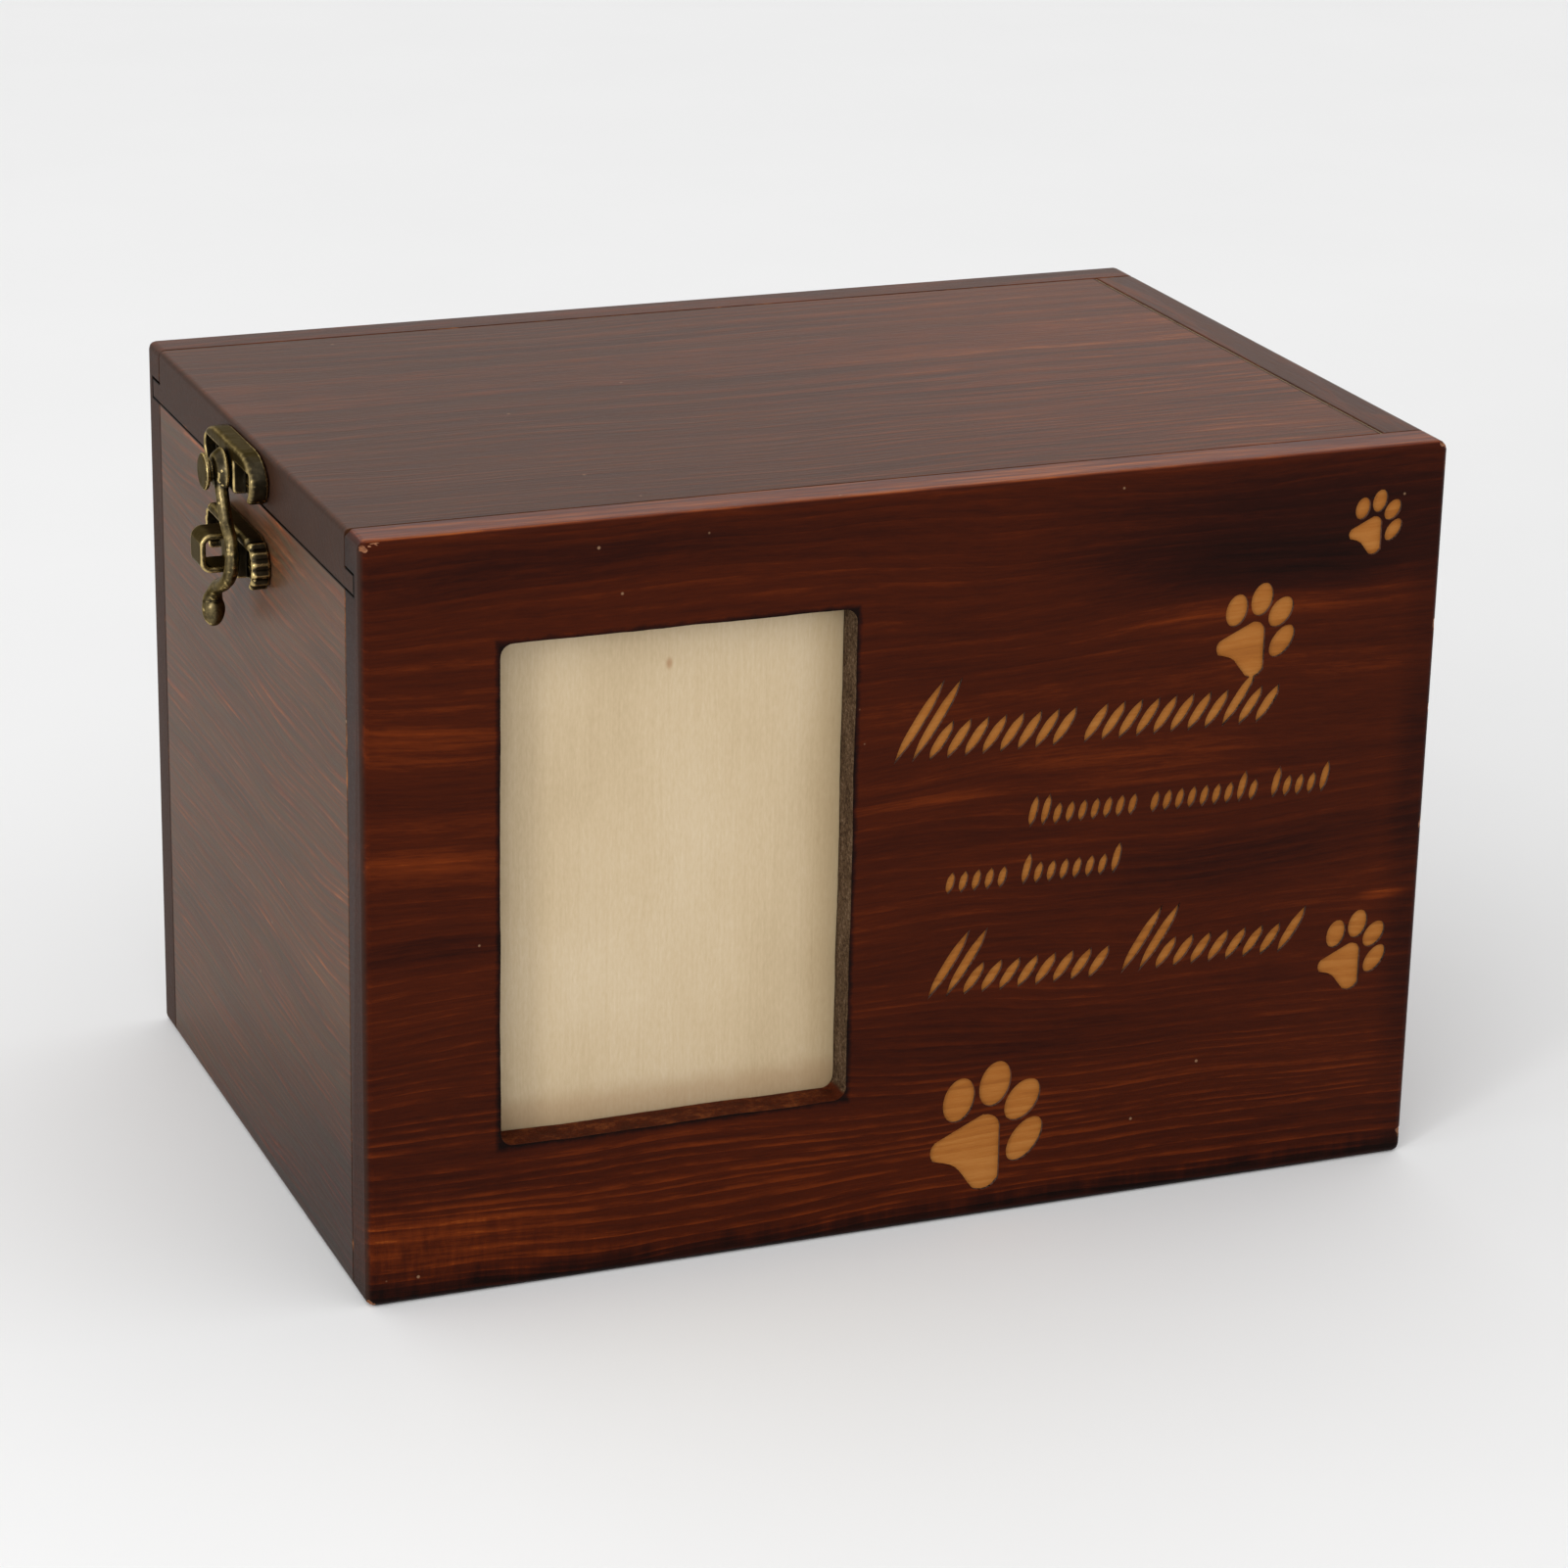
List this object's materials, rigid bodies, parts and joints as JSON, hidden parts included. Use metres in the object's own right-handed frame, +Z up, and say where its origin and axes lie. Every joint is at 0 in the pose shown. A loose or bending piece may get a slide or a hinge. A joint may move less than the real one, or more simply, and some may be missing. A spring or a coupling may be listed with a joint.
{
  "type": "pet cremation urn box",
  "caption": "Stained wooden urn box with a photo window, shallow paw engraving, a lid that slides out sideways and a swinging hook latch.",
  "frame": {"origin": "centre of the underside", "axes": "+Z up; the front with the window and the engraving faces -Y; the latch is on the left end, -X, where the lid slides out"},
  "size_m": [0.1989, 0.13, 0.13],
  "materials": {
    "stained_wood": "dark red-brown stain, satin",
    "stained_lid": "dark red-brown stain, satin",
    "floor_wood": "plain, unstained",
    "pale_board": "plain, unstained",
    "antique_brass": "antiqued, worn bright on the edges",
    "dark_brass": "antiqued, dark"
  },
  "bodies": {
    "box": {"front_panel": "stained_wood", "back_panel": "stained_wood", "left_end_panel": "stained_wood", "right_end_panel": "stained_wood", "floor_panel": "floor_wood", "backing_board": "pale_board", "catch_plate": "antique_brass", "catch_plate_screw_front": "dark_brass", "catch_plate_screw_back": "dark_brass"},
    "lid": {"sliding_lid": "stained_lid", "lid_plate": "antique_brass", "lid_plate_screw_front": "dark_brass", "lid_plate_screw_back": "dark_brass", "hook_rivet": "antique_brass"},
    "hook": {"latch_hook": "antique_brass"}
  },
  "joints": [
    {"name": "lid_slide", "type": "slide", "parent": "box", "child": "lid", "axis": [-1, 0, 0], "range_m": [0, 0.17]},
    {"name": "hook_swing", "type": "hinge", "parent": "lid", "child": "hook", "pos_m": [-0.0998, 0, 0.1243], "axis": [-1, 0, 0], "range_deg": [0, 290]}
  ]
}
